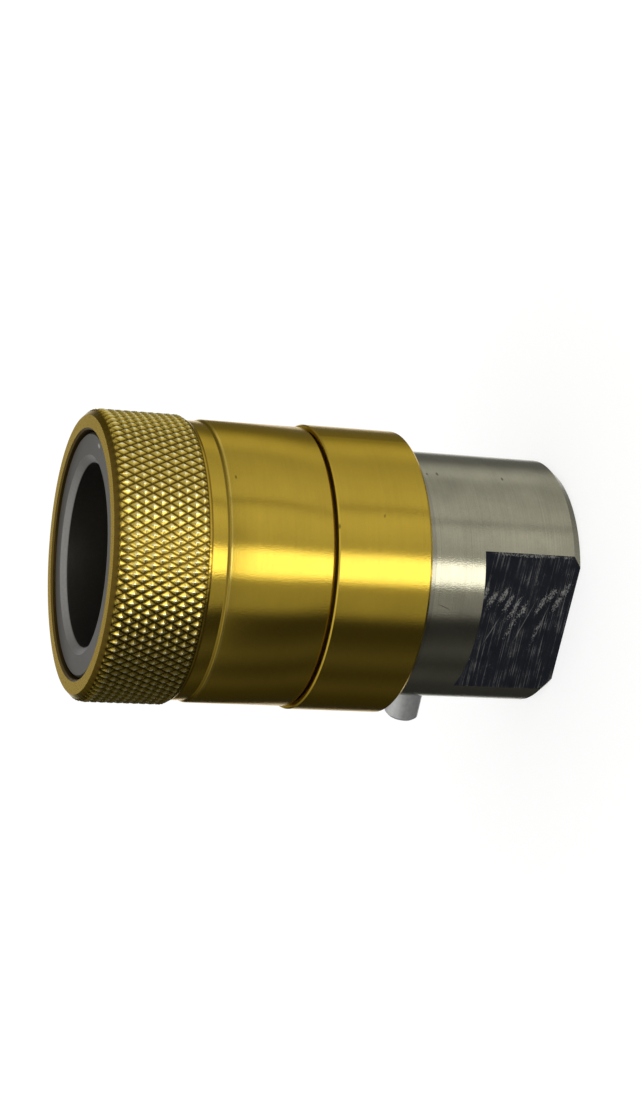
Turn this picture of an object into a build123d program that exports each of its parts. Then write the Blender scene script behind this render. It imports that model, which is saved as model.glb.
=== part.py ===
from build123d import *
from math import atan, cos, pi, sin
import os

# Socket half of a trailer air brake coupling, standing on its rear face.
# Millimetres. +Z runs along the axis to the mouth, and z = 0 is the steel rear face.

# Rear body
across_flats = 32.0
flat_length = 16.9
end_chamfer_length = 1.5
end_chamfer_depth = 1.1
exposed_length = 26.9
port_core_diameter = 20.38
port_depth = 14.0
throat_step = 1.19
throat_length = 6.0
spigot_wall = 3.0
spigot_length = 11.5
ring_land = 1.4

# Gold rear collar
collar_wall = 1.15
collar_rear_chamfer = 0.5
collar_front_chamfer = 0.2
guide_length = 4.0

# Gold knurled sleeve
seam_width = 0.3
smooth_length = 16.8
seam_chamfer = 0.45
groove_wall = 1.2
groove_depth = 0.3
groove_width = 2.7
groove_step_length = 0.5
knurl_height = 0.5
knurl_depth = 0.48
knurl_count = 96
knurl_pitch = 2.62
knurl_length = 15.2
knurl_root = 0.6
knurl_run_out = 1.4
knurl_edge_step = 0.07
mouth_chamfer = 0.7
mouth_bore_gap = 0.4
mouth_bore_chamfer = 0.3
lip_length = 4.3
lip_slope = 0.6
tail_wall = 1.35
tail_length = 4.0
spring_shoulder = 0.9
spring_chamber_length = 17.3

# Socket body
socket_recess = 0.6
socket_bore_diameter = 29.0
bore_step = 0.3
bore_step_slope = 0.4
bore_step_setback = 0.325
lead_in_length = 0.9
lead_in_width = 1.2
socket_edge_chamfer = 0.3
body_step = 0.8
skirt_wall = 3.65
flange_thickness = 4.0
flange_step = 3.0
spring_neck_depth = 1.9
spring_seat_height = 6.0

# Ball lock
ball_diameter = 6.35
ball_count = 8
ball_row_depth = 13.2
ball_engagement = 1.25
ball_lift = 1.6
pull_travel = 6.0
pocket_radial_clearance = 0.2
pocket_seat_depth = 1.4
pocket_seat_narrowing = 0.5
pocket_overcut = 1.0

# Valve
guide_disc_thickness = 3.0
guide_hole_count = 6
guide_hole_diameter = 3.8
guide_hole_margin = 0.1
tail_diameter = 6.0
tail_below_guide = 1.5
head_flow_gap = 3.5
head_thickness = 4.0
seal_face_thickness = 1.5
seal_gap = 0.1
seat_thickness = 4.0
seat_overlap = 2.0
seat_nib_height = 0.4
seat_nib_width = 1.2
stem_diameter = 6.0
stem_clear_height = 12.0
pad_lip = 2.0
pad_thickness = 2.0

# Stop pin
pin_diameter = 5.7
pin_proud = 6.3
pin_stop_gap = 0.35
pin_root = 5.5
pin_chamfer = 0.4

# Springs, rings and seals
sleeve_wire = 2.0
sleeve_coil_turns = 4.0
washer_thickness = 0.7
valve_wire = 1.2
valve_coil_gap = 0.8
valve_coil_turns = 3.5
stop_ring_width = 1.2
stop_ring_proud = 0.9
stop_ring_seat = 0.75
snap_ring_width = 1.0
snap_ring_depth = 0.7
snap_ring_proud = 0.3
snap_ring_setback = 2.6
ring_gap = 3.0
wiper_width = 1.4
wiper_depth = 1.15
wiper_setback = 1.2
nose_seal_thickness = 4.0
nose_seal_width = 2.4
nose_seal_lip = 0.8
retainer_thickness = 1.2
retainer_width = 1.1
retainer_seat = 0.8
seal_section = 1.4
body_seal_setback = 5.5

# Clearances, all radial or axial
slide_clearance = 0.15
fixed_clearance = 0.05
running_clearance = 0.08
ring_clearance = 0.05
ball_clearance = 0.1
land_clearance = 0.2
free_clearance = 0.3

# Ball lock geometry: the sleeve's ramp lifts each ball by ball_lift over the pull
ball_radius = ball_diameter / 2
pocket_radius = ball_radius + pocket_radial_clearance
socket_bore_radius = socket_bore_diameter / 2
ball_bore_radius = socket_bore_radius - bore_step
ball_seat_radius = ball_bore_radius + ball_radius - ball_engagement
ramp_slope = ball_lift / pull_travel
ramp_offset = (ball_radius + ball_clearance) / cos(atan(ramp_slope))
land_radius = ball_seat_radius + ball_radius + ball_clearance
lift_radius = land_radius + ball_lift

# Radii, outwards from the balls to the sleeve and the collar
socket_radius = land_radius - land_clearance
neck_radius = socket_radius - spring_neck_depth
mouth_bore_radius = socket_radius + mouth_bore_gap
tail_inner_radius = land_radius + spring_shoulder
tail_outer_radius = tail_inner_radius + tail_wall
counterbore_radius = tail_outer_radius + slide_clearance
collar_radius = counterbore_radius + collar_wall
groove_radius = lift_radius + groove_wall
smooth_radius = groove_radius + groove_depth
knurl_radius = smooth_radius + knurl_height
valley_radius = knurl_radius - knurl_depth
knurl_edge_radius = valley_radius - knurl_edge_step
knurl_seat_radius = knurl_edge_radius - knurl_root

# Radii, inwards from the socket body to the valve
body_radius = socket_radius + body_step
guide_bore_radius = body_radius + slide_clearance
stop_ring_radius = body_radius + stop_ring_proud
relief_radius = stop_ring_radius + free_clearance
skirt_bore_radius = socket_radius - skirt_wall
spigot_radius = skirt_bore_radius - fixed_clearance
chamber_radius = spigot_radius - spigot_wall
head_radius = chamber_radius - head_flow_gap
orifice_radius = head_radius - seat_overlap
flange_bore_radius = ball_bore_radius - flange_step
port_radius = port_core_diameter / 2
throat_radius = port_radius - throat_step
guide_hole_radius = guide_hole_diameter / 2
guide_circle_radius = throat_radius - guide_hole_radius - guide_hole_margin
tail_radius = tail_diameter / 2
stem_radius = stem_diameter / 2
pad_radius = stem_radius + pad_lip
valve_coil_radius = tail_radius + valve_coil_gap + valve_wire / 2

# Heights along the axis
guide_top = exposed_length + guide_length
stop_ring_base = guide_top + free_clearance
stop_ring_top = stop_ring_base + stop_ring_width
shoulder_height = stop_ring_top + ring_land
spigot_top = shoulder_height + spigot_length
tail_base = stop_ring_top + pull_travel + free_clearance
sleeve_base = tail_base + tail_length
collar_top = sleeve_base - seam_width
groove_base = sleeve_base + smooth_length
groove_top = groove_base + groove_width
mouth_height = groove_top + knurl_length
socket_top = mouth_height - socket_recess
ball_height = socket_top - ball_row_depth
lead_bore_base = ball_height + pocket_radius + bore_step_setback
ramp_start = ball_height + (land_radius - ball_seat_radius - ramp_offset) / ramp_slope
ramp_end = ramp_start + pull_travel
lip_base = mouth_height - lip_length
run_out_slope = knurl_run_out / (knurl_radius - groove_radius)
knurl_low_edge = groove_top + run_out_slope * (knurl_edge_radius - groove_radius)
knurl_base = groove_top + knurl_run_out
knurl_top = mouth_height - mouth_chamfer
knurl_high_edge = knurl_top + knurl_radius - knurl_edge_radius
spring_seat = shoulder_height + spring_seat_height
spring_top = spring_seat + spring_chamber_length
chamber_floor = port_depth + throat_length
seat_base = spigot_top - seat_thickness
seal_face_top = seat_base - seat_nib_height - seal_gap
head_top = seal_face_top - seal_face_thickness
head_base = head_top - head_thickness
guide_disc_top = chamber_floor + guide_disc_thickness
flange_top = spigot_top + flange_thickness
nose_seal_top = flange_top + nose_seal_thickness
retainer_top = nose_seal_top + retainer_thickness
stem_top = spigot_top + stem_clear_height
pad_top = stem_top + pad_thickness
pin_height = exposed_length - pull_travel - pin_stop_gap - pin_diameter / 2


def turned(outline):
    """Solid of revolution about the axis, from (radius, height) points."""
    section = make_face(Polyline(*outline, close=True).edges())
    return revolve(Plane.XZ * section, axis=Axis.Z)


def tube(inner, outer, base, top):
    """Plain ring between two radii and two heights."""
    return turned([(inner, base), (outer, base), (outer, top), (inner, top)])


def rod_across(radius, start, end, height, chamfer_size=0.0):
    """Rod along +X from start to end, at a height, with a chamfered outer end."""
    outline = [(start, 0), (end, 0), (end, radius - chamfer_size), (end - chamfer_size, radius), (start, radius)]
    if not chamfer_size:
        outline = [(start, 0), (end, 0), (end, radius), (start, radius)]
    section = make_face(Polyline(*outline, close=True).edges())
    return Pos(0, 0, height) * revolve(section, axis=Axis.X)


def split_ring(inner, outer, base, top):
    """Spring ring with a straight gap."""
    slit = Pos((inner + outer) / 2, 0, (base + top) / 2) * Box(outer, ring_gap, 2 * (top - base))
    return tube(inner, outer, base, top) - slit


def o_ring(inner, outer, height):
    """Round-section ring that fills the space between two radii."""
    section_radius = (outer - inner) / 2 - fixed_clearance / 2
    return Pos(0, 0, height) * Torus((inner + outer) / 2, section_radius)


def coil(mean_radius, wire, base, top, turns):
    """Compression spring whose ends are ground flat against two seats."""
    rise = top - base - wire / 2
    path = Pos(0, 0, base + wire / 4) * Helix(rise / turns, rise, mean_radius)
    section = Plane(origin=path @ 0, z_dir=path % 0) * Circle(wire / 2)
    ground = tube(mean_radius - wire, mean_radius + wire, base, top)
    return sweep(section, path, is_frenet=True) & ground


def rear_body():
    """Turned steel body: port at the rear, valve chamber and spigot at the front."""
    ring_floor = body_radius - stop_ring_seat
    seal_floor = spigot_radius - seal_section + fixed_clearance
    seal_middle = spigot_top - body_seal_setback
    body = turned([
        (port_radius, 0),
        (body_radius - end_chamfer_depth, 0),
        (body_radius, end_chamfer_length),
        (body_radius, stop_ring_base),
        (ring_floor, stop_ring_base),
        (ring_floor, stop_ring_top),
        (body_radius, stop_ring_top),
        (body_radius, shoulder_height),
        (spigot_radius, shoulder_height),
        (spigot_radius, seal_middle - seal_section / 2),
        (seal_floor, seal_middle - seal_section / 2),
        (seal_floor, seal_middle + seal_section / 2),
        (spigot_radius, seal_middle + seal_section / 2),
        (spigot_radius, spigot_top),
        (chamber_radius, spigot_top),
        (chamber_radius, chamber_floor),
        (throat_radius, chamber_floor),
        (throat_radius, port_depth),
        (port_radius, port_depth),
    ])
    width = 2 * body_radius
    milled = Box(width, width, flat_length, align=(Align.CENTER, Align.MIN, Align.MIN))
    for side in (0, 180):
        body -= Rot(0, 0, side) * Pos(0, across_flats / 2, 0) * milled
    hole_floor = body_radius - pin_root
    body -= Rot(0, 0, 180) * rod_across(pin_diameter / 2 + fixed_clearance, hole_floor, width, pin_height)
    return body


def stop_pin():
    """Plated pin in a blind hole, proud of the body so that the pulled collar meets it."""
    start = body_radius - pin_root
    return Rot(0, 0, 180) * rod_across(pin_diameter / 2, start, body_radius + pin_proud, pin_height, pin_chamfer)


def socket_body():
    """Fixed tube: skirt over the spigot, flange, seal pocket, ball pockets and lead-in."""
    retainer_groove = ball_bore_radius + retainer_seat
    body = turned([
        (skirt_bore_radius, shoulder_height),
        (socket_radius, shoulder_height),
        (socket_radius, spring_seat),
        (neck_radius, spring_seat),
        (neck_radius, spring_top + free_clearance),
        (socket_radius, spring_top + free_clearance + spring_neck_depth),
        (socket_radius, socket_top - socket_edge_chamfer),
        (socket_radius - socket_edge_chamfer, socket_top),
        (socket_bore_radius + lead_in_width, socket_top),
        (socket_bore_radius, socket_top - lead_in_length),
        (socket_bore_radius, lead_bore_base),
        (ball_bore_radius, lead_bore_base - bore_step_slope),
        (ball_bore_radius, retainer_top),
        (retainer_groove, retainer_top),
        (retainer_groove, nose_seal_top),
        (ball_bore_radius, nose_seal_top),
        (ball_bore_radius, flange_top),
        (flange_bore_radius, flange_top),
        (flange_bore_radius, spigot_top),
        (skirt_bore_radius, spigot_top),
    ])
    pocket = ball_pocket()
    for turn in ball_turns():
        body -= Rot(0, 0, turn) * pocket
    return body


def ball_turns():
    """Angles of the balls about the axis."""
    return [360 / ball_count * index for index in range(ball_count)]


def ball_pocket():
    """Radial pocket: straight for the ball's stroke, then narrowed so that it can't fall through."""
    narrow = pocket_radius - pocket_seat_narrowing
    inner = ball_bore_radius
    taper = pocket_seat_narrowing / pocket_seat_depth
    start = inner - pocket_overcut
    outline = [
        (start, 0),
        (start, narrow - taper * (inner - start)),
        (inner + pocket_seat_depth, pocket_radius),
        (2 * inner, pocket_radius),
        (2 * inner, 0),
    ]
    section = make_face(Polyline(*outline, close=True).edges())
    return Pos(0, 0, ball_height) * revolve(section, axis=Axis.X)


def locking_ball(turn):
    """Hardened ball, held inwards by the sleeve's land."""
    return Rot(0, 0, turn) * Pos(ball_seat_radius, 0, ball_height) * Sphere(ball_radius)


def knurl_point(radius, step, height):
    """Point round the knurl, at half a diamond's width for each step."""
    turn = pi * step / knurl_count
    return Vector(radius * cos(turn), radius * sin(turn), height)


def facet(*points):
    """Flat face between points."""
    return Face(Wire.make_polygon(points, close=True))


def diamond_knurl():
    """Ring of raised diamonds on crossed valleys, with half diamonds that run out on both edges."""
    rows = round(2 * (knurl_top - knurl_base) / knurl_pitch)
    rise = (knurl_top - knurl_base) / rows
    edges = {0: knurl_low_edge, rows: knurl_high_edge}
    faces = []
    for row in range(rows + 1):
        height = knurl_base + rise * row
        for step in range(row % 2, 2 * knurl_count, 2):
            peak = knurl_point(knurl_radius, step, height)
            left = knurl_point(valley_radius, step - 1, height)
            right = knurl_point(valley_radius, step + 1, height)
            if row > 0:
                low = knurl_point(valley_radius, step, height - rise)
                faces += [facet(left, low, peak), facet(low, right, peak)]
            if row < rows:
                high = knurl_point(valley_radius, step, height + rise)
                faces += [facet(right, high, peak), facet(high, left, peak)]
            if row in edges:
                foot = [knurl_point(knurl_edge_radius, step + side, edges[row]) for side in (-1, 0, 1)]
                faces += [facet(left, foot[0], foot[1]), facet(left, foot[1], peak)]
                faces += [facet(peak, foot[1], right), facet(right, foot[1], foot[2])]
    for edge in edges.values():
        faces.append(facet(*[knurl_point(knurl_edge_radius, step, edge) for step in range(2 * knurl_count)]))
    core = Cylinder(knurl_seat_radius - fixed_clearance, mouth_height, align=(Align.CENTER, Align.CENTER, Align.MIN))
    return Solid(Shell(faces)) - core


def knurled_sleeve():
    """Gold front sleeve: knurl band, groove, smooth grip and the tail inside the collar."""
    ring_floor = tail_outer_radius - snap_ring_depth
    ring_base = snap_ring_base()
    blank = turned([
        (tail_inner_radius, tail_base),
        (tail_outer_radius, tail_base),
        (tail_outer_radius, ring_base),
        (ring_floor, ring_base),
        (ring_floor, ring_base + snap_ring_width),
        (tail_outer_radius, ring_base + snap_ring_width),
        (tail_outer_radius, sleeve_base),
        (smooth_radius - seam_chamfer, sleeve_base),
        (smooth_radius, sleeve_base + seam_chamfer),
        (smooth_radius, groove_base),
        (groove_radius, groove_base + groove_step_length),
        (groove_radius, groove_top),
        (knurl_edge_radius, knurl_low_edge),
        (knurl_seat_radius, knurl_low_edge),
        (knurl_seat_radius, knurl_high_edge),
        (knurl_edge_radius, knurl_high_edge),
        (knurl_radius - mouth_chamfer, mouth_height),
        (mouth_bore_radius + mouth_bore_chamfer, mouth_height),
        (mouth_bore_radius, mouth_height - mouth_bore_chamfer),
        (mouth_bore_radius, lip_base),
        (lift_radius, lip_base - lip_slope),
        (lift_radius, ramp_end),
        (land_radius, ramp_start),
        (land_radius, spring_top),
        (tail_inner_radius, spring_top),
    ])
    return blank + diamond_knurl()


def snap_ring_base():
    """Height of the groove that the sleeve and the collar share."""
    return sleeve_base - snap_ring_setback


def rear_collar():
    """Gold rear collar: slides on the body and holds the sleeve's tail."""
    ring_floor = tail_outer_radius + snap_ring_proud + slide_clearance
    ring_base = snap_ring_base()
    counterbore_base = tail_base - free_clearance
    wiper_base = exposed_length + wiper_setback
    wiper_floor = guide_bore_radius + wiper_depth
    return turned([
        (guide_bore_radius, exposed_length),
        (collar_radius - collar_rear_chamfer, exposed_length),
        (collar_radius, exposed_length + collar_rear_chamfer),
        (collar_radius, collar_top - collar_front_chamfer),
        (collar_radius - collar_front_chamfer, collar_top),
        (counterbore_radius, collar_top),
        (counterbore_radius, ring_base + snap_ring_width),
        (ring_floor, ring_base + snap_ring_width),
        (ring_floor, ring_base),
        (counterbore_radius, ring_base),
        (counterbore_radius, counterbore_base),
        (relief_radius, counterbore_base),
        (relief_radius, guide_top),
        (guide_bore_radius, guide_top),
        (guide_bore_radius, wiper_base + wiper_width),
        (wiper_floor, wiper_base + wiper_width),
        (wiper_floor, wiper_base),
        (guide_bore_radius, wiper_base),
    ])


def sleeve_snap_ring():
    """Ring that ties the sleeve to the collar and lets it turn."""
    inner = tail_outer_radius - snap_ring_depth + ring_clearance
    outer = tail_outer_radius + snap_ring_proud
    base = snap_ring_base() + ring_clearance
    return split_ring(inner, outer, base, base + snap_ring_width - 2 * ring_clearance)


def collar_stop_ring():
    """Ring in the body's groove that ends the collar's forward stroke."""
    inner = body_radius - stop_ring_seat + ring_clearance
    base = stop_ring_base + ring_clearance
    return split_ring(inner, stop_ring_radius, base, base + stop_ring_width - 2 * ring_clearance)


def collar_wiper():
    """Rubber ring that keeps dirt out of the collar's guide."""
    inner = body_radius + running_clearance
    outer = guide_bore_radius + wiper_depth - fixed_clearance
    base = exposed_length + wiper_setback + ring_clearance
    return tube(inner, outer, base, base + wiper_width - 2 * ring_clearance)


def sleeve_spring():
    """Coil round the socket body's neck that pushes the sleeve forward."""
    mean_radius = (neck_radius + tail_inner_radius) / 2
    return coil(mean_radius, sleeve_wire, spring_seat, spring_top - washer_thickness, sleeve_coil_turns)


def spring_washer():
    """Flat washer between the coil and the sleeve's shoulder."""
    inner = neck_radius + slide_clearance
    outer = tail_inner_radius - slide_clearance
    return tube(inner, outer, spring_top - washer_thickness, spring_top)


def valve_guide():
    """Drilled disc on the chamber floor with a bore for the poppet's tail."""
    disc = tube(tail_radius + running_clearance, chamber_radius - fixed_clearance, chamber_floor, guide_disc_top)
    hole = Cylinder(guide_hole_radius, 3 * guide_disc_thickness)
    for index in range(guide_hole_count):
        turn = 360 / guide_hole_count * index
        disc -= Rot(0, 0, turn) * Pos(guide_circle_radius, 0, chamber_floor + guide_disc_thickness / 2) * hole
    return disc


def valve_spring():
    """Coil that lifts the poppet to its seat."""
    return coil(valve_coil_radius, valve_wire, guide_disc_top, head_base, valve_coil_turns)


def valve_poppet():
    """Turned poppet: tail, head, stem and the pad that the other half pushes."""
    return turned([
        (0, chamber_floor - tail_below_guide),
        (tail_radius - pin_chamfer, chamber_floor - tail_below_guide),
        (tail_radius, chamber_floor - tail_below_guide + pin_chamfer),
        (tail_radius, head_base),
        (head_radius, head_base),
        (head_radius, head_top),
        (stem_radius, head_top),
        (stem_radius, stem_top),
        (pad_radius, stem_top),
        (pad_radius, pad_top - pin_chamfer),
        (pad_radius - pin_chamfer, pad_top),
        (0, pad_top),
    ])


def poppet_seal():
    """Rubber face on the poppet's head."""
    return tube(stem_radius + fixed_clearance, head_radius, head_top, seal_face_top)


def valve_seat():
    """Seat ring with a raised nib, in the mouth of the chamber."""
    outer = chamber_radius - fixed_clearance
    groove_floor = chamber_radius - seal_section + fixed_clearance
    middle = seat_base + seat_thickness / 2
    nib_base = seat_base - seat_nib_height
    return turned([
        (orifice_radius, nib_base),
        (orifice_radius + seat_nib_width, nib_base),
        (orifice_radius + seat_nib_width, seat_base),
        (outer, seat_base),
        (outer, middle - seal_section / 2),
        (groove_floor, middle - seal_section / 2),
        (groove_floor, middle + seal_section / 2),
        (outer, middle + seal_section / 2),
        (outer, spigot_top),
        (orifice_radius, spigot_top),
    ])


def seat_seal():
    """O-ring between the seat and the chamber wall."""
    return o_ring(chamber_radius - seal_section + fixed_clearance, chamber_radius, seat_base + seat_thickness / 2)


def body_seal():
    """O-ring between the spigot and the socket body's skirt."""
    inner = spigot_radius - seal_section + fixed_clearance
    return o_ring(inner, skirt_bore_radius, spigot_top - body_seal_setback)


def nose_seal():
    """Rubber washer with a raised inner lip that meets the other half's nose."""
    outer = ball_bore_radius - fixed_clearance
    bore = ball_bore_radius - nose_seal_width
    lip_width = nose_seal_width - retainer_width
    return turned([
        (bore, flange_top),
        (outer, flange_top),
        (outer, nose_seal_top),
        (bore + lip_width, nose_seal_top),
        (bore + lip_width / 2, nose_seal_top + nose_seal_lip),
        (bore, nose_seal_top + nose_seal_lip),
    ])


def seal_retainer():
    """Spring ring over the nose seal."""
    outer = ball_bore_radius + retainer_seat - ring_clearance
    return split_ring(ball_bore_radius - retainer_width, outer, nose_seal_top, retainer_top)


pieces = {
    "rear_body": rear_body(),
    "stop_pin": stop_pin(),
    "valve_guide": valve_guide(),
    "valve_spring": valve_spring(),
    "valve_poppet": valve_poppet(),
    "poppet_seal": poppet_seal(),
    "valve_seat": valve_seat(),
    "seat_seal": seat_seal(),
    "body_seal": body_seal(),
    "socket_body": socket_body(),
    "nose_seal": nose_seal(),
    "seal_retainer": seal_retainer(),
    "knurled_sleeve": knurled_sleeve(),
    "rear_collar": rear_collar(),
    "sleeve_snap_ring": sleeve_snap_ring(),
    "collar_stop_ring": collar_stop_ring(),
    "collar_wiper": collar_wiper(),
    "sleeve_spring": sleeve_spring(),
    "spring_washer": spring_washer(),
}
for number, turn in enumerate(ball_turns(), start=1):
    pieces[f"locking_ball_{number}"] = locking_ball(turn)

os.makedirs("parts", exist_ok=True)
for name, piece in pieces.items():
    export_step(piece, f"parts/{name}.step")
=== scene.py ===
"""Looks of an air brake coupling's socket half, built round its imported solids.

Metres. +Z runs along the axis to the mouth, and the steel rear face stands on z = 0.
"""

import math

import bmesh
import bpy
from mathutils import Matrix, Vector


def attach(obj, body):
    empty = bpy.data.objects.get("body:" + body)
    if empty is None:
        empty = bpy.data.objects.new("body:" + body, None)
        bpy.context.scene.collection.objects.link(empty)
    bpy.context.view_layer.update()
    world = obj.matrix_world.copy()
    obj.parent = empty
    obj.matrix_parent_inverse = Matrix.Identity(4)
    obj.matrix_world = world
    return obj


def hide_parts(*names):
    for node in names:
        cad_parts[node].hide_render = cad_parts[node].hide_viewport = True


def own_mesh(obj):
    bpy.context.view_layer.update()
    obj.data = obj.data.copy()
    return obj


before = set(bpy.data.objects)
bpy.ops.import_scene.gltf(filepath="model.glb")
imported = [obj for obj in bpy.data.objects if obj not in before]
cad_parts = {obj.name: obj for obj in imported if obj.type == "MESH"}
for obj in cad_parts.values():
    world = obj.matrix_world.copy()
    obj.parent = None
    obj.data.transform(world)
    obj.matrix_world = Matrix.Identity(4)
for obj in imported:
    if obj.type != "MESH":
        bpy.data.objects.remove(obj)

bl_info = {
    "name": "Air Brake Coupling Socket",
    "version": (1, 0, 0),
    "blender": (4, 5, 0),
    "location": "View3D > Sidebar > Coupling",
    "description": "Dresses the socket half of a trailer air brake coupling",
    "category": "Object",
}

MM = 0.001
FULL_TURN = 2 * math.pi
UP = Vector((0, 0, 1))

# The camera's side of the object, and the level direction that is up in the picture
VIEW_AZIMUTH = math.radians(24.5)
TOWARDS_CAMERA = Vector((math.sin(VIEW_AZIMUTH), -math.cos(VIEW_AZIMUTH), 0))
PICTURE_UP = UP.cross(TOWARDS_CAMERA)


class Term:
    """A shader socket that can stand in a sum."""

    def __init__(self, recipe, socket):
        self.recipe = recipe
        self.socket = socket

    def output(self, name):
        """Another output of the same node."""
        return Term(self.recipe, self.socket.node.outputs[name])

    def join(self, operation, *values):
        """A Math node on these values."""
        inputs = dict(enumerate(values))
        return self.recipe.node("ShaderNodeMath", {"operation": operation}, inputs)

    def __add__(self, other):
        return self.join("ADD", self, other)

    def __radd__(self, other):
        return self.join("ADD", other, self)

    def __sub__(self, other):
        return self.join("SUBTRACT", self, other)

    def __rsub__(self, other):
        return self.join("SUBTRACT", other, self)

    def __mul__(self, other):
        return self.join("MULTIPLY", self, other)

    def __rmul__(self, other):
        return self.join("MULTIPLY", other, self)

    def __truediv__(self, other):
        return self.join("DIVIDE", self, other)


# Where a mark starts to fade and where it ends, as shares of its half size
MARK_CORE = 0.3
MARK_RIM = 1.2


class Recipe:
    """Builds the nodes of one material or of the world."""

    def __init__(self, tree):
        self.tree = tree
        tree.nodes.clear()

    def node(self, kind, settings=None, inputs=None, output=0):
        """A node with its settings made first, then its sockets set or linked."""
        made = self.tree.nodes.new(kind)
        for key, value in (settings or {}).items():
            if key == "stops":
                set_stops(made.color_ramp, value)
            else:
                setattr(made, key, value)
        for key, value in (inputs or {}).items():
            if isinstance(value, Term):
                self.tree.links.new(value.socket, made.inputs[key])
            else:
                made.inputs[key].default_value = value
        return Term(self, made.outputs[output])

    def finish(self, kind, surface):
        """The tree's output node."""
        made = self.tree.nodes.new(kind)
        self.tree.links.new(surface.socket, made.inputs["Surface"])

    def mix(self, first, second, share):
        """Colour between two colours."""
        return self.node("ShaderNodeMix", {"data_type": "RGBA"}, {0: share, 6: first, 7: second}, output=2)

    def ramp(self, value, stops):
        """Number or grey that follows the stops."""
        return self.node("ShaderNodeValToRGB", {"stops": stops}, {0: value})

    def place(self):
        """Point on the piece, in metres."""
        return self.node("ShaderNodeTexCoord", output="Object")

    def noise(self, place, scale, detail=2.0, rough=0.5):
        """Noise from 0 to 1, with its scale in features for each metre."""
        inputs = {"Vector": place, "Scale": scale, "Detail": detail, "Roughness": rough}
        return self.node("ShaderNodeTexNoise", None, inputs)

    def stretch(self, place, scale):
        """The point with its axes scaled."""
        return self.node("ShaderNodeMapping", None, {"Vector": place, "Scale": scale})

    def split(self, place):
        """The point's x, y and z."""
        along_x = self.node("ShaderNodeSeparateXYZ", None, {0: place})
        return along_x, along_x.output("Y"), along_x.output("Z")

    def rise(self, value, low, high):
        """Share that goes smoothly from 0 at low to 1 at high."""
        settings = {"interpolation_type": "SMOOTHSTEP"}
        return self.node("ShaderNodeMapRange", settings, {"Value": value, "From Min": low, "From Max": high})

    def window(self, value, low, high, soft):
        """Share that is 1 between low and high."""
        return self.rise(value, low - soft, low + soft) * (1 - self.rise(value, high - soft, high + soft))

    def radius(self, place):
        """Distance from the axis."""
        flat = self.node("ShaderNodeMapping", None, {"Vector": place, "Scale": (1, 1, 0)})
        return self.node("ShaderNodeVectorMath", {"operation": "LENGTH"}, {0: flat}, output="Value")

    def mark(self, place, centre, turn, size):
        """Soft-edged mark: centre in millimetres, turn about Y in radians, half sizes in millimetres."""
        settings = {"vector_type": "TEXTURE"}
        local = self.node("ShaderNodeMapping", settings, {
            "Vector": place,
            "Location": tuple(value * MM for value in centre),
            "Rotation": (0, turn, 0),
            "Scale": tuple(value * MM for value in size),
        })
        reach = self.node("ShaderNodeVectorMath", {"operation": "LENGTH"}, {0: local}, output="Value")
        return 1 - self.rise(reach, MARK_CORE, MARK_RIM)

    def marks(self, place, rows):
        """All marks of a surface, joined."""
        total = None
        for centre, turn, size, strength in rows:
            one = self.mark(place, centre, turn, size) * strength
            total = one if total is None else total.join("MAXIMUM", total, one)
        return total


def set_stops(ramp, stops):
    """Fills a colour ramp from (position, grey or colour) pairs."""
    while len(ramp.elements) > 1:
        ramp.elements.remove(ramp.elements[-1])
    for index, (position, value) in enumerate(stops):
        if index:
            element = ramp.elements.new(position)
        else:
            element = ramp.elements[0]
            element.position = position
        if isinstance(value, (int, float)):
            value = (value, value, value)
        element.color = (*value, 1.0)


def new_material(name):
    """Empty material, with the recipe that fills it."""
    material = bpy.data.materials.new(name)
    material.use_nodes = True
    return material, Recipe(material.node_tree)


def shade(colour, share):
    """The same colour, darker."""
    return tuple(value * share for value in colour)


TURNED_GLOSS = 0.19
TURNED_RELIEF = 0.00001
RING_SOFTNESS = 0.00004
MARK_BROWN = (0.03, 0.02, 0.012)


def turned_metal(name, colour, deep_colour, roughness, marks=(), rings=(), edge=(1, 1, 1), blotch=0.9):
    """Turned metal: lines round the axis, soft patches, fine grain and a gloss that runs along the axis."""
    material, recipe = new_material(name)
    place = recipe.place()
    lines = recipe.noise(recipe.stretch(place, (40, 40, 9000)), 1.0, 3.0, 0.6)
    patches = recipe.noise(place, 160.0, 3.0)
    grain = recipe.noise(place, 4500.0, 2.0)
    share = (patches - 0.5) * blotch + (lines - 0.5) * 0.8 + (grain - 0.5) * 0.5 + 0.4
    share.socket.node.use_clamp = True
    tone = recipe.mix((*colour, 1), (*deep_colour, 1), share)
    if marks:
        tone = recipe.mix(tone, (*MARK_BROWN, 1), recipe.marks(place, marks))
    height = recipe.split(place)[2]
    # Rings round the axis: on the sleeve and collar these are painted shade and painted highlights at steps
    # and chamfers
    for low, high, ring_colour, strength in rings:
        ring = recipe.window(height, low * MM, high * MM, RING_SOFTNESS) * strength
        tone = recipe.mix(tone, (*ring_colour, 1), ring)
    relief = lines + grain * 2.2
    bump = recipe.node("ShaderNodeBump", None, {"Strength": 0.5, "Distance": TURNED_RELIEF, "Height": relief})
    surface = recipe.node("ShaderNodeBsdfPrincipled", None, {
        "Base Color": tone,
        "Metallic": 1.0,
        "Roughness": roughness + (patches - 0.5) * 0.08,
        "Specular Tint": (*edge, 1),
        "Anisotropic": 0.9,
        "Anisotropic Rotation": 0.25,
        "Normal": bump,
    })
    recipe.finish("ShaderNodeOutputMaterial", surface)
    return material


# Heights above the knurl's valleys, in metres
SLOPE_TOP = 0.00026
TIP_FOOT = 0.00028
TIP_TOP = 0.00044


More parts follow.
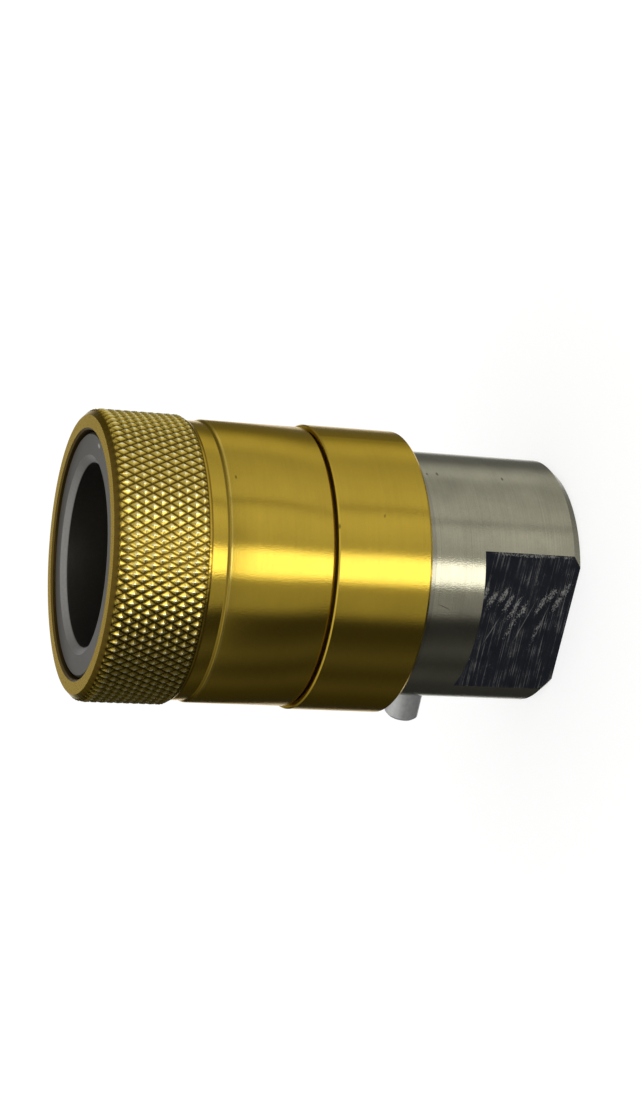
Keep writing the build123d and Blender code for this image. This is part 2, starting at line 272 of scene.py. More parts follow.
def knurled_metal(name, colour, deep_colour, tip_colour):
    """Knurled gold: painted shade in the valleys, gold on the slopes and pale where the tips are rubbed."""
    material, recipe = new_material(name)
    place = recipe.place()
    reach = recipe.radius(place)
    grain = recipe.noise(place, 3000.0, 3.0)
    valley = (CREST - KNURL_DEPTH) * MM
    # The valleys' dark brown is painted shade, fading to gold up the slopes
    slope = recipe.rise(reach + (grain - 0.5) * 0.0001, valley, valley + SLOPE_TOP)
    tone = recipe.mix((*deep_colour, 1), (*colour, 1), slope)
    tip = recipe.rise(reach, valley + TIP_FOOT, valley + TIP_TOP)
    tone = recipe.mix(tone, (*tip_colour, 1), tip)
    bump = recipe.node("ShaderNodeBump", None, {"Strength": 0.4, "Distance": 0.00003, "Height": grain})
    surface = recipe.node("ShaderNodeBsdfPrincipled", None, {
        "Base Color": tone,
        "Metallic": 1.0,
        "Roughness": 0.28 + (grain - 0.5) * 0.15,
        "Specular Tint": (*EDGE_GOLD, 1),
        "Normal": bump,
    })
    recipe.finish("ShaderNodeOutputMaterial", surface)
    return material


def milled_metal(name, colour, groove_colour):
    """Milled flat: dark, with fine light lines across the axis, rubbed patches and scratches."""
    material, recipe = new_material(name)
    place = recipe.place()
    lines = recipe.noise(recipe.stretch(place, (110, 110, 5200)), 1.0, 4.0, 0.65)
    blots = recipe.noise(place, 420.0, 4.0, 0.6)
    fine = recipe.rise(lines + (blots - 0.5) * 0.35, 0.52, 0.74)
    specks = recipe.noise(recipe.stretch(place, (1, 1, 1.7)), 2800.0, 6.0, 0.72)
    wear = specks + (blots - 0.5) * 0.25 + (recipe.marks(place, FLAT_RUBS) - 1) * 0.2
    rubbed = recipe.rise(wear, 0.42, 0.56)
    scratched = recipe.marks(place, FLAT_SCRATCHES)
    light = fine * 0.5 + rubbed * 0.85 + scratched * 0.7
    light.socket.node.use_clamp = True
    tone = recipe.mix((*groove_colour, 1), (*colour, 1), light)
    bump = recipe.node("ShaderNodeBump", None, {"Strength": 0.6, "Distance": 0.00003, "Height": lines})
    surface = recipe.node("ShaderNodeBsdfPrincipled", None, {
        "Base Color": tone,
        "Metallic": 1.0,
        "Roughness": 0.42 + (blots - 0.5) * 0.2,
        "Normal": bump,
    })
    recipe.finish("ShaderNodeOutputMaterial", surface)
    return material


# The ring's lead-in, in metres: its radii, and the heights between which its painted highlight starts
LEAD_IN = (0.0146, 0.0157)
LEAD_IN_START = (0.0757, 0.0760)
LEAD_IN_SOFTNESS = 0.00005
BRIGHT_SCRATCH = (0.6, 0.58, 0.52)


def socket_metal(name, colour, grain_and_highlight_colour):
    """Dark steel of the fixed ring, with a painted highlight on its lead-in and one bright scratch."""
    material, recipe = new_material(name)
    place = recipe.place()
    reach = recipe.radius(place)
    height = recipe.split(place)[2]
    grain = recipe.noise(place, 2500.0, 3.0)
    turned = recipe.noise(recipe.stretch(place, (60, 60, 5000)), 1.0, 3.0)
    # Painted highlight on the lead-in, mixed with lighter grain
    lead = recipe.window(reach, *LEAD_IN, LEAD_IN_SOFTNESS) * recipe.rise(height, *LEAD_IN_START)
    edge = lead * 0.8 + (grain - 0.5) * 0.5
    edge.socket.node.use_clamp = True
    tone = recipe.mix((*colour, 1), (*grain_and_highlight_colour, 1), edge)
    tone = recipe.mix(tone, (*BRIGHT_SCRATCH, 1), recipe.marks(place, RING_SCRATCH))
    surface = recipe.node("ShaderNodeBsdfPrincipled", None, {
        "Base Color": tone,
        "Metallic": 1.0,
        "Roughness": 0.42 + (turned - 0.5) * 0.2,
    })
    recipe.finish("ShaderNodeOutputMaterial", surface)
    return material


def plain_finish(name, colour, roughness, metallic, spread=0.15, scale=900.0):
    """Finish for small parts: fine mottling of colour and gloss."""
    material, recipe = new_material(name)
    mottle = recipe.noise(recipe.place(), scale, 3.0)
    tone = recipe.mix((*colour, 1), (*shade(colour, 1 - spread), 1), mottle)
    surface = recipe.node("ShaderNodeBsdfPrincipled", None, {
        "Base Color": tone,
        "Metallic": metallic,
        "Roughness": roughness + (mottle - 0.5) * 0.1,
    })
    recipe.finish("ShaderNodeOutputMaterial", surface)
    return material


def dress(material, *names):
    """Puts a material on CAD nodes."""
    for name in names:
        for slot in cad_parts[name].material_slots:
            slot.material = material


def add_piece(name, shape, materials, body, slot, *nodes):
    """Makes a piece from a finished shape, on its body, in place of CAD nodes."""
    mesh = bpy.data.meshes.new(name)
    shape.to_mesh(mesh)
    shape.free()
    for material in materials:
        mesh.materials.append(material)
    piece = bpy.data.objects.new(name, mesh)
    bpy.context.scene.collection.objects.link(piece)
    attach(piece, body)
    if nodes:
        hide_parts(*nodes)
    return piece


def smooth_but_edges(piece, limit, second_limit=None):
    """Smooth shading that stays sharp where faces meet at more than the limit, in degrees.

    The second limit, where given, holds between faces of the piece's second material.
    """
    mesh = piece.data
    for face in mesh.polygons:
        face.use_smooth = True
    mesh.set_sharp_from_angle(angle=math.radians(limit))
    if second_limit is None:
        return
    shape = bmesh.new()
    shape.from_mesh(mesh)
    for edge in shape.edges:
        if all(face.material_index == 1 for face in edge.link_faces):
            edge.smooth = edge.calc_face_angle(0) < math.radians(second_limit)
    shape.to_mesh(mesh)
    shape.free()


def turned_normals(piece, limit=0.985):
    """Exact normals on all that was turned round the axis, and flat ones elsewhere.

    A face counts as turned where the cosine between its own normal and the exact one passes the limit.
    """
    mesh = piece.data
    normals = []
    for face in mesh.polygons:
        face.use_smooth = True
        tilt = face.normal.z
        for corner in face.loop_indices:
            across = mesh.vertices[mesh.loops[corner].vertex_index].co.xy.normalized()
            side = math.copysign(math.sqrt(max(0.0, 1 - tilt * tilt)), across.dot(face.normal.xy))
            turned = Vector((across.x * side, across.y * side, tilt))
            keep = face.material_index == 0 and turned.dot(face.normal) > limit
            normals.append(turned if keep else face.normal.copy())
    mesh.normals_split_custom_set(normals)


def spin_outline(shape, outline, steps):
    """Sweeps an open outline of (radius, height) in millimetres once round the axis."""
    verts = [shape.verts.new((radius * MM, 0, height * MM)) for radius, height in outline]
    edges = [shape.edges.new(pair) for pair in zip(verts, verts[1:])]
    bmesh.ops.spin(
        shape, geom=verts + edges, cent=(0, 0, 0), axis=(0, 0, 1), dvec=(0, 0, 0),
        angle=FULL_TURN, steps=steps, use_merge=True,
    )


def ring_edges(shape, height):
    """Open edges that lie at one height, in millimetres."""
    return [
        edge for edge in shape.edges
        if edge.is_boundary and all(abs(vert.co.z - height * MM) < 1e-6 for vert in edge.verts)
    ]


def cut_across(shape, height, side):
    """Cuts the shape level at a height, and clears above (1), below (-1) or neither (0)."""
    bmesh.ops.bisect_plane(
        shape, geom=shape.verts[:] + shape.edges[:] + shape.faces[:], dist=1e-8,
        plane_co=(0, 0, height * MM), plane_no=(0, 0, 1),
        clear_outer=side > 0, clear_inner=side < 0,
    )


# The metals' darker patches, as shares of their colour
GOLD_SHADE = 0.8
STEEL_SHADE = 0.66
# Tint of the metals' gloss at a grazing look
EDGE_GOLD = (0.95, 0.82, 0.5)
EDGE_STEEL = (1, 1, 0.95)
# How strongly the steel's patches show
STEEL_BLOTCH = 1.5
KNURL_SLOPE = (0.74, 0.54, 0.09)
# Dark brown of the knurl's valleys, a painted shade
KNURL_VALLEY_SHADE = (0.11, 0.07, 0.012)
KNURL_TIP = (0.98, 0.9, 0.5)
# Marks: centre in millimetres, turn about Y in radians, half sizes in millimetres, strength
SLEEVE_MARKS = (
    ((19.58, -11.09, 58.14), 0.0, (0.4, 0.4, 0.2), 0.6),
)
COLLAR_MARKS = (
    ((16.75, -15.69, 34.79), 0.4, (0.3, 0.5, 0.15), 0.55),
    ((15.23, -17.17, 42.3), 0.0, (0.5, 0.5, 0.2), 0.6),
)
STEEL_MARKS = (
    ((19.56, -4.16, 11.55), 0.0, (0.4, 0.5, 0.2), 0.75),
    ((19.54, -4.28, 24.6), 0.0, (0.3, 0.4, 0.2), 0.6),
    ((19.58, -4.08, 22.82), 0.0, (0.4, 0.5, 0.25), 0.7),
    ((3.7, -19.65, 23.4), 0.35, (0.1, 0.6, 1.4), 0.5),
)
# Rings: lowest and highest in millimetres, colour, strength; the steel's is a darker band next to the collar
# On the sleeve the dark rings are painted shade in the step behind the groove and at the knurl's foot, and
# the pale ones are painted highlights on its edges
SLEEVE_SHADE_AND_HIGHLIGHT_RINGS = (
    (59.6, 59.9, (0.07, 0.04, 0.008), 0.6), (59.15, 59.45, (0.75, 0.58, 0.15), 0.5),
    (62.15, 62.45, (0.2, 0.1, 0.015), 0.7), (42.6, 42.95, (0.75, 0.6, 0.2), 0.5),
)
# The collar's pale ring is a painted highlight on its rear chamfer
COLLAR_HIGHLIGHT_RINGS = ((26.8, 27.35, (0.75, 0.6, 0.2), 0.6),)
STEEL_RINGS = ((25.2, 26.95, (0.2, 0.19, 0.16), 0.35),)
# Rubbed patches and scratches of the flats, given as marks
FLAT_RUBS = (
    ((4.4, -16.0, 15.4), 0.35, (1.9, 1.0, 0.8), 1.0),
    ((3.6, -16.0, 13.8), 0.35, (2.2, 1.0, 0.9), 0.9),
    ((4.2, -16.0, 12.1), 0.35, (2.4, 1.0, 0.8), 1.0),
    ((3.0, -16.0, 10.9), 0.35, (2.6, 1.0, 0.7), 0.9),
    ((2.4, -16.0, 9.5), 0.35, (3.0, 1.0, 0.6), 1.0),
    ((1.8, -16.0, 8.2), 0.3, (3.2, 1.0, 0.6), 0.8),
    ((-0.6, -16.0, 9.4), 0.3, (4.2, 1.0, 0.5), 0.75),
    ((3.2, -16.0, 5.2), 0.35, (2.6, 1.0, 0.6), 1.0),
    ((4.8, -16.0, 3.9), 0.35, (2.2, 1.0, 0.8), 0.9),
    ((3.4, -16.0, 2.6), 0.35, (2.4, 1.0, 0.7), 1.0),
    ((5.6, -16.0, 1.6), 0.3, (2.2, 1.0, 0.9), 0.9),
    ((-2.0, -16.0, 5.0), 0.2, (3.6, 1.0, 0.4), 0.75),
    ((11.7, -16.0, 9.0), 0.0, (0.5, 1.0, 9.5), 0.9),
    ((1.0, 16.0, 9.0), 0.3, (3.5, 1.0, 1.4), 0.9),
    ((-3.0, 16.0, 6.0), 0.5, (2.5, 1.0, 0.7), 0.9),
)
FLAT_SCRATCHES = (
    ((-1.9, -16.0, 12.7), 1.925, (0.1, 0.5, 2.9), 0.7),
    ((-0.2, -16.0, 7.43), 1.861, (0.1, 0.5, 4.3), 0.6),
    ((-0.05, -16.0, 4.4), 1.775, (0.09, 0.5, 3.6), 0.6),
    ((1.5, 16.0, 9.0), 0.9, (0.1, 0.5, 4.0), 0.6),
)
RING_SCRATCH = (((18.0, 1.2, 76.8), 1.57, (0.2, 0.8, 0.35), 1.0),)


class CouplingFinish(bpy.types.PropertyGroup):
    """Colours of the coupling's finishes."""

    gold: bpy.props.FloatVectorProperty(
        name="Gold", description="Anodised gold of the sleeve and collar",
        subtype="COLOR", size=3, min=0, max=1, default=(0.58, 0.40, 0.05),
    )
    steel: bpy.props.FloatVectorProperty(
        name="Steel", description="Turned steel of the rear body",
        subtype="COLOR", size=3, min=0, max=1, default=(0.43, 0.41, 0.3),
    )


class COUPLING_OT_gold(bpy.types.Operator):
    """Finish the gold collar"""

    bl_idname = "coupling.gold"
    bl_label = "Gold Collar"

    def execute(self, context):
        gold = tuple(context.scene.coupling_finish.gold)
        deep = shade(gold, GOLD_SHADE)
        finish = turned_metal("collar_gold", gold, deep, TURNED_GLOSS, COLLAR_MARKS, COLLAR_HIGHLIGHT_RINGS, EDGE_GOLD)
        dress(finish, "rear_collar")
        return {"FINISHED"}


# From crest to valley, in millimetres
KNURL_DEPTH = 0.48


class CouplingSizes(bpy.types.PropertyGroup):
    """Sizes of the sleeve's diamond knurl."""

    knurl_count: bpy.props.IntProperty(
        name="Knurl Count", description="Diamonds round the sleeve", default=96, min=24, max=200,
    )
    knurl_pitch: bpy.props.FloatProperty(
        name="Knurl Pitch", description="Diamond length along the axis, in millimetres",
        default=2.62, min=0.5,
    )
    knurl_depth: bpy.props.FloatProperty(
        name="Knurl Depth", description="From crest to valley, in millimetres", default=KNURL_DEPTH, min=0.05,
    )
    knurl_floor: bpy.props.FloatProperty(
        name="Knurl Floor", description="Width of a valley's floor, in millimetres", default=0.1, min=0.0,
    )
    knurl_slope: bpy.props.FloatProperty(
        name="Knurl Slope", description="Width of a diamond's sloping side, in millimetres",
        default=0.5, min=0.05,
    )


# Sleeve heights and radii in millimetres, as in the solid
CREST = 23.0
GROOVE_FLOOR = 22.2
GROOVE_TOP = 62.2
KNURL_BASE = 63.6
RUN_OUT = KNURL_BASE - GROOVE_TOP
MOUTH_EDGE = 21.9
MOUTH = 77.4
# Points of the knurl closer than this, in millimetres, are one
WELD = 0.002
# Levels at which a chamfer cuts the diamonds, as shares of the knurl's depth
CUT_SHARES = (0.33, 0.66, 1.0)


def knurl_band(shape, sizes):
    """Diamond knurl round the sleeve: one diamond, raised, repeated and cut at both chamfers.

    Returns the heights of its two open ends, in millimetres.
    """
    valley = CREST - sizes.knurl_depth
    half_width = math.pi * CREST / sizes.knurl_count
    half_length = sizes.knurl_pitch / 2
    bmesh.ops.create_grid(shape, x_segments=1, y_segments=1, size=math.sqrt(0.5))
    bmesh.ops.rotate(shape, verts=shape.verts, matrix=Matrix.Rotation(math.pi / 4, 3, "Z"))
    bmesh.ops.scale(shape, verts=shape.verts, vec=(half_length, half_width, 1))
    bmesh.ops.inset_individual(
        shape, faces=shape.faces[:], thickness=sizes.knurl_floor / 2, depth=0, use_even_offset=True
    )
    top = max(shape.faces, key=lambda face: min(edge.calc_length() for edge in face.edges))
    bmesh.ops.inset_individual(
        shape, faces=[top], thickness=sizes.knurl_slope, depth=sizes.knurl_depth, use_even_offset=True
    )
    low = KNURL_BASE - sizes.knurl_pitch
    rows = int((MOUTH - low) / sizes.knurl_pitch) + 2
    unit = shape.verts[:] + shape.edges[:] + shape.faces[:]
    for index in range(1, 2 * rows):
        made = bmesh.ops.duplicate(shape, geom=unit)["geom"]
        fresh = [item for item in made if isinstance(item, bmesh.types.BMVert)]
        bmesh.ops.translate(shape, verts=fresh, vec=(half_length * index, half_width * (index % 2), 0))
    for vert in shape.verts:
        along, across, rise = vert.co
        turn = Matrix.Rotation(across / CREST, 3, "Z")
        vert.co = turn @ Vector((valley + rise, 0, low + along))
    bmesh.ops.spin(
        shape, geom=shape.verts[:] + shape.edges[:] + shape.faces[:], cent=(0, 0, 0), axis=(0, 0, 1),
        dvec=(0, 0, 0), angle=FULL_TURN, steps=sizes.knurl_count, use_duplicate=True,
    )
    bmesh.ops.remove_doubles(shape, verts=shape.verts, dist=WELD)
    bmesh.ops.scale(shape, verts=shape.verts, vec=(MM, MM, MM))
    slope = (CREST - GROOVE_FLOOR) / RUN_OUT
    low_cut = GROOVE_TOP + (valley - GROOVE_FLOOR) / slope
    high_cut = MOUTH - (valley - MOUTH_EDGE)
    cut_across(shape, low_cut, -1)
    cut_across(shape, high_cut, 1)
    for share in CUT_SHARES:
        cut_across(shape, low_cut + share * (CREST - valley) / slope, 0)
        cut_across(shape, high_cut - share * (CREST - valley), 0)
    for vert in shape.verts:
        height = vert.co.z / MM
        limit = min(GROOVE_FLOOR + (height - GROOVE_TOP) * slope, MOUTH_EDGE + MOUTH - height, CREST)
        radius = vert.co.xy.length / MM
        if radius > limit:
            vert.co.xy *= limit / radius
    return low_cut, high_cut


# The sleeve without its knurl, from the groove's top round the rear and the bore to the mouth's rim
SLEEVE_OUTLINE = (
    (22.2, 62.2), (22.2, 60.0), (22.18, 59.92), (22.42, 59.58), (22.5, 59.42),
    (22.5, 43.2), (22.46, 43.1), (22.05, 42.7), (21.65, 42.7), (21.65, 41.1), (20.95, 41.1),
    (20.95, 40.1), (21.65, 40.1), (21.65, 38.7), (20.3, 38.7), (20.3, 57.1), (19.4, 57.1),
    (19.4, 63.17), (21.0, 69.17), (21.0, 72.5), (19.6, 73.1), (19.6, 77.1), (19.9, 77.4), (MOUTH_EDGE, 77.4),
)
SLEEVE_STEPS = 192
# Faces inside this radius, in millimetres, and more than the rim's depth below the mouth get the inside
# material, whose dark gold is painted shade
INNER_LIMIT = 21.9
RIM_DEPTH = 0.1
# Dark gold painted as shade inside the sleeve's bore
INNER_GOLD_SHADE = (0.13, 0.085, 0.02)
# Angles in degrees up to which faces blend: on turned parts, between the knurl's own faces, and on wire
TURNED_LIMIT = 28
KNURL_LIMIT = 75
WIRE_LIMIT = 40


class COUPLING_OT_sleeve(bpy.types.Operator):
    """Build the gold sleeve with its diamond knurl"""

    bl_idname = "coupling.sleeve"
    bl_label = "Knurled Sleeve"

    def execute(self, context):
        gold = tuple(context.scene.coupling_finish.gold)
        deep = shade(gold, GOLD_SHADE)
        shape = bmesh.new()
        low_cut, high_cut = knurl_band(shape, context.scene.coupling_sizes)
        for face in shape.faces:
            face.material_index = 1
        spin_outline(shape, SLEEVE_OUTLINE, SLEEVE_STEPS)
        bmesh.ops.bridge_loops(shape, edges=ring_edges(shape, low_cut) + ring_edges(shape, GROOVE_TOP))
        bmesh.ops.bridge_loops(shape, edges=ring_edges(shape, high_cut) + ring_edges(shape, MOUTH))
        bmesh.ops.recalc_face_normals(shape, faces=shape.faces)
        for face in shape.faces:
            middle = face.calc_center_median()
            if middle.z > MOUTH * MM - 0.00001 or middle.z < low_cut * MM:
                face.material_index = 0
            # Faces deep in the bore take the material of painted shade
            if middle.xy.length < INNER_LIMIT * MM and middle.z < (MOUTH - RIM_DEPTH) * MM:
                face.material_index = 2
        materials = [
            turned_metal("anodised_gold", gold, deep, TURNED_GLOSS, SLEEVE_MARKS, SLEEVE_SHADE_AND_HIGHLIGHT_RINGS, EDGE_GOLD),
            knurled_metal("knurl_gold", KNURL_SLOPE, KNURL_VALLEY_SHADE, KNURL_TIP),
            plain_finish("shaded_inner_gold", INNER_GOLD_SHADE, 0.5, 1.0),
        ]
        piece = add_piece("knurled_grip", shape, materials, "sleeve", "gold_sleeve", "knurled_sleeve")
        smooth_but_edges(piece, TURNED_LIMIT, KNURL_LIMIT)
        return {"FINISHED"}


# The rear body's sizes in millimetres, as in the solid
PORT_RADIUS = 10.19
PORT_DEPTH = 14.0
FLAT_LENGTH = 16.9
HALF_ACROSS_FLATS = 16.0
# The port's thread in millimetres: the wall at its root, its ridge and the port's chamfer
THREAD_RADIUS = 11.05
THREAD_CREST = 10.24
THREAD_SINK = 0.1
HALF_ROOT = 0.655
HALF_CREST = 0.19
THREAD_START = 0.75
THREAD_PITCH = 1.5
THREAD_TURNS = 8
THREAD_STEPS = 72
PORT_CHAMFER = 0.55
# How far a point may be from where it is looked for, in millimetres
SLACK = 0.02
MILLED_LINE = (0.72, 0.71, 0.66)
MILLED_GROOVE = (0.045, 0.05, 0.065)


def on_port_rim(vert):
    """Whether a point lies on the port's edge in the rear face."""
    return abs(vert.co.z) < 1e-7 and abs(vert.co.xy.length / MM - THREAD_RADIUS) < SLACK


def thread_shape():
    """Ridge of the port's thread, which winds round the axis with its root sunk in the wall."""
    root = THREAD_RADIUS + THREAD_SINK
    outline = (
        (root, -HALF_ROOT), (THREAD_RADIUS, -HALF_ROOT), (THREAD_CREST, -HALF_CREST),
        (THREAD_CREST, HALF_CREST), (THREAD_RADIUS, HALF_ROOT), (root, HALF_ROOT),
    )
    shape = bmesh.new()
    verts = [shape.verts.new((radius * MM, 0, (THREAD_START + height) * MM)) for radius, height in outline]
    face = shape.faces.new(verts)
    bmesh.ops.spin(
        shape, geom=[face, *face.edges, *face.verts], cent=(0, 0, 0), axis=(0, 0, 1),
        dvec=(0, 0, THREAD_PITCH * MM / THREAD_STEPS), angle=FULL_TURN * THREAD_TURNS,
        steps=THREAD_STEPS * THREAD_TURNS,
    )
    bmesh.ops.recalc_face_normals(shape, faces=shape.faces)
    return shape


class COUPLING_OT_rear_body(bpy.types.Operator):
    """Build the steel rear body with its milled flats and threaded port"""

    bl_idname = "coupling.rear_body"
    bl_label = "Rear Body"

    def execute(self, context):
        steel = tuple(context.scene.coupling_finish.steel)
        deep = shade(steel, STEEL_SHADE)
        shape = bmesh.new()
        shape.from_mesh(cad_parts["rear_body"].data)
        bmesh.ops.remove_doubles(shape, verts=shape.verts, dist=1e-6)
        for vert in shape.verts:
            reach = vert.co.xy.length / MM
            if abs(reach - PORT_RADIUS) < SLACK and vert.co.z < (PORT_DEPTH + 0.01) * MM:
                vert.co.xy *= THREAD_RADIUS / reach
        for face in shape.faces:
            middle = face.calc_center_median() / MM
            on_flat = abs(abs(middle.y) - HALF_ACROSS_FLATS) < 0.01 and abs(face.normal.y) > 0.99
            face.material_index = 1 if on_flat and middle.z < FLAT_LENGTH else 0
        rim = [edge for edge in shape.edges if all(on_port_rim(vert) for vert in edge.verts)]
        bmesh.ops.bevel(
            shape, geom=rim, offset=PORT_CHAMFER * MM, offset_type="OFFSET", segments=1, profile=0.5,
            affect="EDGES", material=-1,
        )
        materials = [
            turned_metal(
                "turned_steel", steel, deep, TURNED_GLOSS, STEEL_MARKS, STEEL_RINGS, EDGE_STEEL, STEEL_BLOTCH
            ),
            milled_metal("milled_steel", MILLED_LINE, MILLED_GROOVE),
        ]
        piece = add_piece("rear_steel_body", shape, materials, "root", "rear_steel", "rear_body")
        turned_normals(piece)
        cut_metal = turned_metal("thread_steel", deep, steel, 0.3)
        ridge = add_piece("port_thread", thread_shape(), [cut_metal], "root", "rear_steel")
        smooth_but_edges(ridge, TURNED_LIMIT)
        return {"FINISHED"}


# Springs: mean radius, wire, foot and head in millimetres, turns between the two closed ones
SLEEVE_COIL = (18.8, 2.0, 39.8, 56.4, 3)
VALVE_COIL = (4.4, 1.2, 23.0, 35.3, 2.5)
COIL_STEPS = 64


def coil_shape(mean_radius, wire, base, top, middle_turns):
    """Round-wire coil with a closed turn at each end, ground flat between its two seats."""
    shape = bmesh.new()
    spot = Matrix.Translation((mean_radius * MM, 0, (base + wire / 4) * MM))
    upright = Matrix.Rotation(math.pi / 2, 4, "X")
    bmesh.ops.create_circle(shape, cap_ends=True, segments=16, radius=wire / 2 * MM, matrix=spot @ upright)
    section = shape.verts[:] + shape.edges[:] + shape.faces[:]
    middle_rise = top - base - wire / 2 - 2 * wire
    for turns, rise in ((1, wire), (middle_turns, middle_rise), (1, wire)):
        steps = int(COIL_STEPS * turns)
        section = bmesh.ops.spin(
            shape, geom=section, cent=(0, 0, 0), axis=(0, 0, 1), dvec=(0, 0, rise * MM / steps),
            angle=FULL_TURN * turns, steps=steps,
        )["geom_last"]
    for height, side in ((base, -1), (top, 1)):
        cut_across(shape, height, side)
        bmesh.ops.holes_fill(shape, edges=[edge for edge in shape.edges if edge.is_boundary], sides=0)
    bmesh.ops.recalc_face_normals(shape, faces=shape.faces)
    return shape


class COUPLING_OT_springs(bpy.types.Operator):
    """Build the sleeve spring and the valve spring"""

    bl_idname = "coupling.springs"
    bl_label = "Springs"

    def execute(self, context):
        wire_steel = plain_finish("spring_steel", (0.35, 0.35, 0.34), 0.35, 1.0)
        large = add_piece(
            "sleeve_coil", coil_shape(*SLEEVE_COIL), [wire_steel], "root", "spring_steel", "sleeve_spring"
        )
        small = add_piece(
            "valve_coil", coil_shape(*VALVE_COIL), [wire_steel], "root", "spring_steel", "valve_spring"
        )
        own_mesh(large)
        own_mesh(small)
        for piece in (large, small):
            smooth_but_edges(piece, WIRE_LIMIT)
        dress(wire_steel, "spring_washer", "sleeve_snap_ring", "collar_stop_ring", "seal_retainer")
        return {"FINISHED"}


class COUPLING_OT_socket(bpy.types.Operator):
    """Finish the fixed ring, the balls and the pin"""

    bl_idname = "coupling.socket"
    bl_label = "Socket, Balls and Pin"

    def execute(self, context):
        # The second colour is the lighter grain and the painted highlight of the lead-in
        dress(socket_metal("socket_steel", (0.12, 0.112, 0.096), (0.26, 0.252, 0.235)), "socket_body")
        dress(plain_finish("plated_pin", (0.7, 0.71, 0.7), 0.38, 0.55, 0.35, 1400.0), "stop_pin")
        balls = [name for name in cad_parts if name.startswith("locking_ball")]
        dress(plain_finish("ball_steel", (0.7, 0.7, 0.7), 0.1, 1.0), *balls)
        return {"FINISHED"}


class COUPLING_OT_valve(bpy.types.Operator):
    """Finish the brass valve and the rubber seals"""

    bl_idname = "coupling.valve"
    bl_label = "Valve and Seals"

    def execute(self, context):
        brass = plain_finish("valve_brass", (0.6, 0.42, 0.16), 0.35, 1.0)
        dress(brass, "valve_poppet", "valve_seat", "valve_guide")
        rubber = plain_finish("seal_rubber", (0.02, 0.02, 0.02), 0.6, 0.0)
        dress(rubber, "nose_seal", "poppet_seal", "seat_seal", "body_seal", "collar_wiper")
        return {"FINISHED"}


class COUPLING_OT_stage(bpy.types.Operator):
    """Build the floor, the studio light and the camera"""

    bl_idname = "coupling.stage"
    bl_label = "Stage"

    def execute(self, context):
        build_floor()
        build_world(context.scene)
        build_camera(context.scene)
        return {"FINISHED"}


FLOOR_RADIUS = 3.0
FLOOR_DROP = 0.00002
FLOOR_GREY = 0.34
FLOOR_LIFT = 0.76


def build_floor():
    """White floor that keeps the object's shadow, and through which metal sees the studio."""
    shape = bmesh.new()
    bmesh.ops.create_circle(shape, cap_ends=True, segments=64, radius=FLOOR_RADIUS)
    mesh = bpy.data.meshes.new("floor")
    shape.to_mesh(mesh)
    shape.free()
    floor = bpy.data.objects.new("floor", mesh)
    bpy.context.scene.collection.objects.link(floor)
    floor.location.z = -FLOOR_DROP
    material, recipe = new_material("floor_white")
    rays = recipe.node("ShaderNodeLightPath", output="Is Camera Ray")
    matt = recipe.node("ShaderNodeBsdfDiffuse", None, {"Color": (FLOOR_GREY, FLOOR_GREY, FLOOR_GREY, 1)})
    lift = recipe.node("ShaderNodeEmission", None, {"Color": (1, 1, 1, 1), "Strength": FLOOR_LIFT * rays})
    lit = recipe.node("ShaderNodeAddShader", None, {0: matt, 1: lift})
    clear = recipe.node("ShaderNodeBsdfTransparent")
    seen = recipe.node("ShaderNodeMixShader", None, {0: rays.output("Is Glossy Ray"), 1: lit, 2: clear})
    recipe.finish("ShaderNodeOutputMaterial", seen)
    mesh.materials.append(material)


# Light that gloss sees round the axis: degrees from the camera's side and level
BANDS = (
    (-166, 1.1), (-158, 0.03), (-126, 0.05), (-110, 0.09), (-92, 0.05), (-75, 0.11), (-64, 0.07),
    (-54, 0.045), (-43, 0.05), (-39, 0.15), (-34, 0.42), (-15, 0.47), (-10, 0.62), (-8, 2.9),
    (11.5, 2.9), (14, 0.70), (21, 0.66), (30, 0.77), (40, 0.84), (49, 0.74), (50.5, 0.3), (52, 0.3),
    (53.5, 0.74), (65, 0.74), (92, 0.56), (99, 0.52), (110, 0.70), (119, 0.64), (134, 0.2), (158, 0.16),
    (166, 1.1),
)
BAND_TOP = 3.0
# Light that gloss sees from above: height of the look and level, and where it takes over from the bands
OVERHEAD = ((0.0, 0.27), (0.35, 0.27), (0.6, 0.6), (0.95, 1.0))
OVERHEAD_SHARE = (0.08, 0.26)
SOFT_LEVEL = 0.8


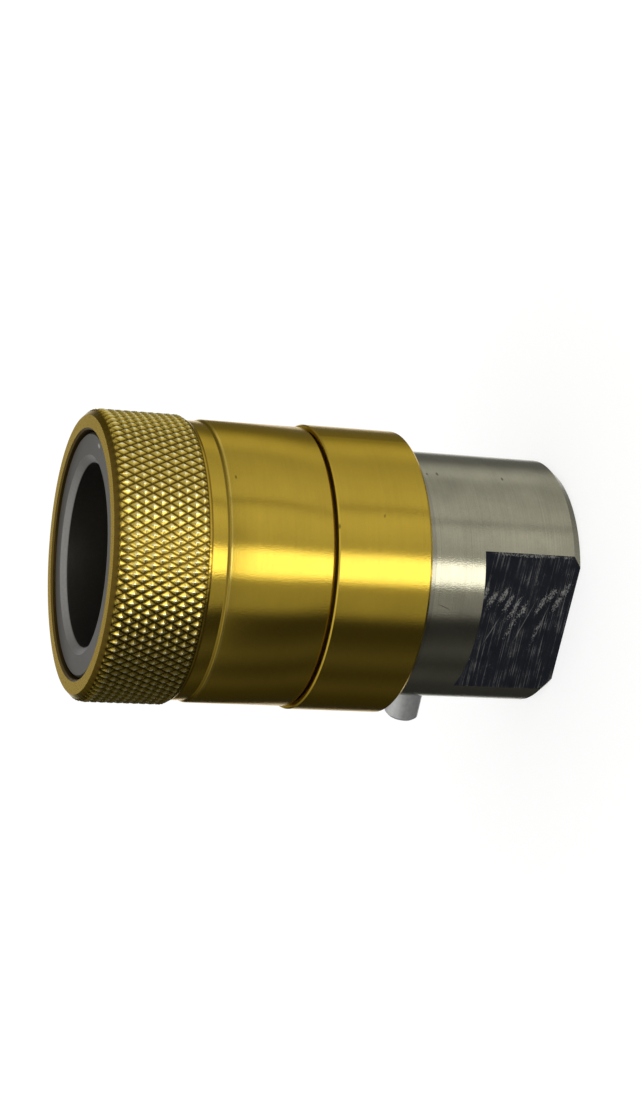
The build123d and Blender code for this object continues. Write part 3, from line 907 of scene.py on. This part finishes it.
def build_world(scene):
    """White to the eye, and banded round the axis for gloss, as tall lamps and flags would be."""
    world = bpy.data.worlds.new("studio")
    world.use_nodes = True
    recipe = Recipe(world.node_tree)
    look = recipe.node("ShaderNodeTexCoord", output="Generated")
    near = recipe.node(
        "ShaderNodeVectorMath", {"operation": "DOT_PRODUCT"}, {0: look, 1: TOWARDS_CAMERA}, output="Value"
    )
    over = recipe.node(
        "ShaderNodeVectorMath", {"operation": "DOT_PRODUCT"}, {0: look, 1: PICTURE_UP}, output="Value"
    )
    turn = over.join("ARCTAN2", over, near) / FULL_TURN + 0.5
    stops = [((angle + 180) / 360, level / BAND_TOP) for angle, level in BANDS]
    around = recipe.node(
        "ShaderNodeBackground", None, {"Color": recipe.ramp(turn, stops), "Strength": BAND_TOP}
    )
    height = recipe.split(look)[2]
    overhead = recipe.node(
        "ShaderNodeBackground", None, {"Color": recipe.ramp(height, OVERHEAD), "Strength": 1.0}
    )
    share = recipe.rise(height, *OVERHEAD_SHARE)
    bands = recipe.node("ShaderNodeMixShader", None, {0: share, 1: around, 2: overhead})
    soft = recipe.node("ShaderNodeBackground", None, {"Color": (1, 1, 1, 1), "Strength": SOFT_LEVEL})
    white = recipe.node("ShaderNodeBackground", None, {"Color": (1, 1, 1, 1), "Strength": 1.0})
    rays = recipe.node("ShaderNodeLightPath", output="Is Camera Ray")
    lit = recipe.node("ShaderNodeMixShader", None, {0: rays.output("Is Glossy Ray"), 1: soft, 2: bands})
    plain = rays.join("MAXIMUM", rays, rays.output("Is Transmission Ray"))
    seen = recipe.node("ShaderNodeMixShader", None, {0: plain, 1: lit, 2: white})
    recipe.finish("ShaderNodeOutputWorld", seen)
    world.cycles.sampling_method = "NONE"
    scene.world = world


def build_camera(scene):
    """The photograph's viewpoint: the mouth towards the camera and to the picture's left."""
    pitch = math.radians(19.22)
    roll = math.radians(3.418)
    forward = -math.cos(pitch) * TOWARDS_CAMERA - math.sin(pitch) * UP
    level = -math.cos(pitch) * UP + math.sin(pitch) * TOWARDS_CAMERA
    right = level * math.cos(roll) + PICTURE_UP * math.sin(roll)
    upright = PICTURE_UP * math.cos(roll) - level * math.sin(roll)
    camera_data = bpy.data.cameras.new("camera")
    camera_data.lens = 75.27
    camera_data.sensor_width = 36.0
    camera = bpy.data.objects.new("camera", camera_data)
    scene.collection.objects.link(camera)
    turned = Matrix((right, upright, -forward)).transposed().to_4x4()
    spot = 0.3520 * TOWARDS_CAMERA + 0.1601 * UP + 0.00294 * PICTURE_UP
    camera.matrix_world = Matrix.Translation(spot) @ turned
    scene.camera = camera
    scene.view_settings.view_transform = "Standard"


class COUPLING_PT_panel(bpy.types.Panel):
    """Lists the coupling's colours, sizes and operators"""

    bl_idname = "COUPLING_PT_panel"
    bl_label = "Air Brake Coupling"
    bl_space_type = "VIEW_3D"
    bl_region_type = "UI"
    bl_category = "Coupling"

    def draw(self, context):
        scene = context.scene
        for group in (scene.coupling_finish, scene.coupling_sizes):
            for name in group.bl_rna.properties.keys():
                if name not in ("rna_type", "name"):
                    self.layout.prop(group, name)
        for operator in OPERATORS:
            self.layout.operator(operator.bl_idname)


OPERATORS = (
    COUPLING_OT_stage, COUPLING_OT_sleeve, COUPLING_OT_gold, COUPLING_OT_rear_body,
    COUPLING_OT_springs, COUPLING_OT_socket, COUPLING_OT_valve,
)
CLASSES = (CouplingFinish, CouplingSizes, *OPERATORS, COUPLING_PT_panel)


def register():
    for part in CLASSES:
        bpy.utils.register_class(part)
    bpy.types.Scene.coupling_finish = bpy.props.PointerProperty(type=CouplingFinish)
    bpy.types.Scene.coupling_sizes = bpy.props.PointerProperty(type=CouplingSizes)


def unregister():
    del bpy.types.Scene.coupling_sizes
    del bpy.types.Scene.coupling_finish
    for part in reversed(CLASSES):
        bpy.utils.unregister_class(part)


def main():
    """Registers the add-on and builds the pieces."""
    register()
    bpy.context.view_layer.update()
    bpy.ops.coupling.stage()
    bpy.ops.coupling.sleeve()
    bpy.ops.coupling.gold()
    bpy.ops.coupling.rear_body()
    bpy.ops.coupling.springs()
    bpy.ops.coupling.socket()
    bpy.ops.coupling.valve()


if __name__ == "__main__":
    main()
